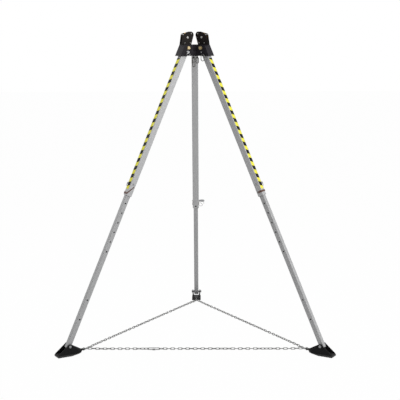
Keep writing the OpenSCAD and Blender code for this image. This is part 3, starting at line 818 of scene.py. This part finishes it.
def twist_links(points, groups, along):
    """Turns each link a little about the run, as a slack chain lies, but not at the run's ends."""
    last = len(groups) - 1
    for k, (_, rows) in enumerate(groups):
        angle = TWIST * math.sin(2 * math.pi * k / TWIST_LINKS) * math.sin(math.pi * k / last)
        middle = (points[rows].min(axis=0) + points[rows].max(axis=0)) / 2
        turn_rows(points, rows, middle, Matrix.Rotation(angle, 3, along))


for joint_name, joint in joints.items():
    if not joint_name.startswith("chain_droop_"):
        continue
    run = joint_name.removeprefix("chain_droop_")
    links = add(bpy.data.objects.new(f"spreader_chain_{run}", nodes[f"chain_{run}"].data.copy()))
    links.data.materials.clear()
    links.data.materials.append(chain_zinc)
    run_axis = Vector(joint["axis"]).cross(UP)
    points = read_points(links.data)
    groups = link_groups(links.data, points, run_axis)
    if run == QUICK_RUN:
        x, y, _ = joint["pos_m"]
        shift_quick_link(points, groups, Vector((x, y, CHAIN_Z)), run_axis)
        groups = link_groups(links.data, points, run_axis)
    twist_links(points, groups, run_axis)
    links.data.vertices.foreach_set("co", points.ravel())
    links.data.update()
    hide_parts(f"chain_{run}")
    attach(links, f"links_{run}")
    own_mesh(links)


# Stage, light and camera


def seen_directly(tree):
    """1 where a camera, mirror or glass ray meets the background."""
    rays = tree.nodes.new("ShaderNodeLightPath")
    total = rays.outputs["Is Camera Ray"]
    for other in ("Is Glossy Ray", "Is Transmission Ray"):
        most = tree.nodes.new("ShaderNodeMath")
        most.operation = "MAXIMUM"
        tree.links.new(total, most.inputs[0])
        tree.links.new(rays.outputs[other], most.inputs[1])
        total = most.outputs[0]
    return total


def white_world():
    """World that is white where it is seen, and lights the object at a lower strength."""
    world = bpy.data.worlds.new("studio")
    bpy.context.scene.world = world
    world.use_nodes = True
    tree = world.node_tree
    strength = tree.nodes.new("ShaderNodeMapRange")
    strength.inputs["To Min"].default_value = AMBIENT
    tree.links.new(seen_directly(tree), strength.inputs["Value"])
    background = tree.nodes["Background"]
    background.inputs["Color"].default_value = (1, 1, 1, 1)
    tree.links.new(strength.outputs["Result"], background.inputs["Strength"])


def pale_floor():
    """White floor: mostly its own white where it is seen, the rest takes the shadow."""
    bm = bmesh.new()
    bmesh.ops.create_grid(bm, x_segments=1, y_segments=1, size=FLOOR_SIZE)
    mesh = bpy.data.meshes.new("floor")
    bm.to_mesh(mesh)
    bm.free()
    floor = add(bpy.data.objects.new("floor", mesh))
    material = bpy.data.materials.new("floor")
    material.use_nodes = True
    tree = material.node_tree
    shader = tree.nodes["Principled BSDF"]
    shader.inputs["Base Color"].default_value = (FLOOR_GREY, FLOOR_GREY, FLOOR_GREY, 1)
    shader.inputs["Roughness"].default_value = FLOOR_ROUGH
    white = tree.nodes.new("ShaderNodeEmission")
    share = tree.nodes.new("ShaderNodeMapRange")
    share.inputs["To Max"].default_value = FLOOR_GLOW
    tree.links.new(seen_directly(tree), share.inputs["Value"])
    mix = tree.nodes.new("ShaderNodeMixShader")
    tree.links.new(share.outputs["Result"], mix.inputs["Fac"])
    tree.links.new(shader.outputs["BSDF"], mix.inputs[1])
    tree.links.new(white.outputs["Emission"], mix.inputs[2])
    tree.links.new(mix.outputs["Shader"], tree.nodes["Material Output"].inputs["Surface"])
    mesh.materials.append(material)


def soft_light(name, place, size, power):
    data = bpy.data.lights.new(name, "AREA")
    data.size = size
    data.energy = power
    lamp = add(bpy.data.objects.new(name, data))
    lamp.location = place
    lamp.rotation_euler = (Vector(LAMP_AIM) - Vector(place)).to_track_quat("-Z", "Y").to_euler()


def photo_camera():
    """The camera fitted to the photograph."""
    data = bpy.data.cameras.new("photo")
    data.sensor_fit = "HORIZONTAL"
    data.sensor_width = SENSOR_MM
    data.lens = FOCAL_PX / IMAGE * SENSOR_MM
    data.shift_x = (IMAGE / 2 - CENTRE_X_PX) / IMAGE
    camera = add(bpy.data.objects.new("photo", data))
    turn = Matrix.Rotation(CAMERA_YAW, 4, "Z")
    tilt = Matrix.Rotation(math.pi / 2 - CAMERA_PITCH, 4, "X")
    roll = Matrix.Rotation(CAMERA_ROLL, 4, "Z")
    camera.matrix_world = turn @ Matrix.Translation((0, -CAMERA_BACK, CAMERA_UP)) @ tilt @ roll
    bpy.context.scene.camera = camera


bpy.context.scene.view_settings.view_transform = "Standard"
white_world()
pale_floor()
for lamp_name, (place, size, power) in LAMPS.items():
    soft_light(lamp_name, place, size, power)
photo_camera()
